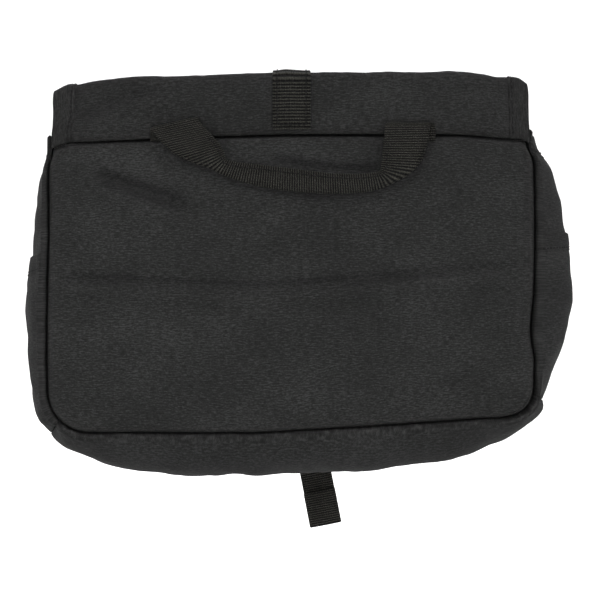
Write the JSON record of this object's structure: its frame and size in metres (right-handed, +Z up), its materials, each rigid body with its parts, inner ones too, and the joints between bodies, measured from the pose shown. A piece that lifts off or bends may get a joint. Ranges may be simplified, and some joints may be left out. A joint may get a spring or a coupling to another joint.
{
  "type": "pannier bag",
  "caption": "Soft canvas flap bag with bowed side pockets, a short webbing carry handle on its back and a webbing strap with a side-release buckle.",
  "frame": {"origin": "middle of the back panel's top seam, on its outer face, where the handle and flap are sewn in", "axes": "+X across the bag, +Y out of the back panel, +Z up"},
  "size_m": [0.36, 0.1052, 0.2968],
  "materials": {
    "canvas": "matt woven canvas",
    "canvas_hem": "folded and stitched canvas",
    "binding_tape": "flat woven tape",
    "webbing": "ribbed webbing",
    "buckle_plastic": "moulded, fine texture"
  },
  "bodies": {
    "bag": {"back_panel": "canvas", "front_panel": "canvas", "bottom_gusset": "canvas", "side_gusset_left": "canvas", "side_gusset_right": "canvas", "side_pocket_left": "canvas", "side_pocket_right": "canvas", "pocket_hem_left": "canvas_hem", "pocket_hem_right": "canvas_hem", "mouth_hem_left": "canvas_hem", "mouth_hem_right": "canvas_hem", "mouth_hem_front": "canvas_hem", "rear_seam_tape": "binding_tape", "front_seam_tape": "binding_tape", "flap_riser": "canvas", "flap_riser_hem_left": "canvas_hem", "flap_riser_hem_right": "canvas_hem", "flap_webbing_riser": "webbing", "handle_end_left": "webbing", "handle_end_right": "webbing", "strap_patch": "webbing"},
    "flap_roof": {"flap_top": "canvas", "flap_top_hem_left": "canvas_hem", "flap_top_hem_right": "canvas_hem", "flap_webbing_top": "webbing"},
    "flap_fall": {"flap_front": "canvas", "flap_front_hem_left": "canvas_hem", "flap_front_hem_right": "canvas_hem", "flap_bottom_hem": "canvas_hem", "flap_webbing_front": "webbing", "socket_loop": "webbing", "buckle_socket": "buckle_plastic"},
    "handle": {"handle_tab_left": "webbing", "handle_tab_right": "webbing", "handle_grip": "webbing"},
    "tongue": {"buckle_frame": "buckle_plastic", "closing_strap": "webbing"},
    "prong_left": {"buckle_prong_left": "buckle_plastic"},
    "prong_right": {"buckle_prong_right": "buckle_plastic"},
    "tail": {"strap_tail": "webbing", "strap_tail_stop": "webbing"}
  },
  "joints": [
    {"name": "flap_lift", "type": "hinge", "parent": "bag", "child": "flap_roof", "pos_m": [0, 0, 0.038], "axis": [-1, 0, 0], "range_deg": [0, 100]},
    {"name": "flap_fold", "type": "hinge", "parent": "flap_roof", "child": "flap_fall", "pos_m": [0, -0.06366, 0.038], "axis": [-1, 0, 0], "range_deg": [0, 180]},
    {"name": "handle_lift", "type": "hinge", "parent": "bag", "child": "handle", "pos_m": [0, 0.0042, 0.0095], "axis": [1, 0, 0], "range_deg": [0, 170]},
    {"name": "buckle_insert", "type": "slide", "parent": "bag", "child": "tongue", "axis": [0, 0.1191, 0.9929], "range_m": [0, 0.0165]},
    {"name": "prong_squeeze_left", "type": "hinge", "parent": "tongue", "child": "prong_left", "pos_m": [0.0077, -0.08975, -0.13975], "axis": [0, -0.9929, 0.1191], "range_deg": [0, 7], "stiffness_Nm_per_rad": 0.02},
    {"name": "prong_squeeze_right", "type": "hinge", "parent": "tongue", "child": "prong_right", "pos_m": [-0.0077, -0.08975, -0.13975], "axis": [0, 0.9929, -0.1191], "range_deg": [0, 7], "stiffness_Nm_per_rad": 0.02},
    {"name": "tail_swing", "type": "hinge", "parent": "tongue", "child": "tail", "pos_m": [-0.004, -0.09416, -0.14355], "axis": [-1, 0, 0], "range_deg": [0, 110]}
  ],
  "couplings": [
    {"joint": "prong_squeeze_right", "follows": "prong_squeeze_left", "ratio": 1}
  ]
}
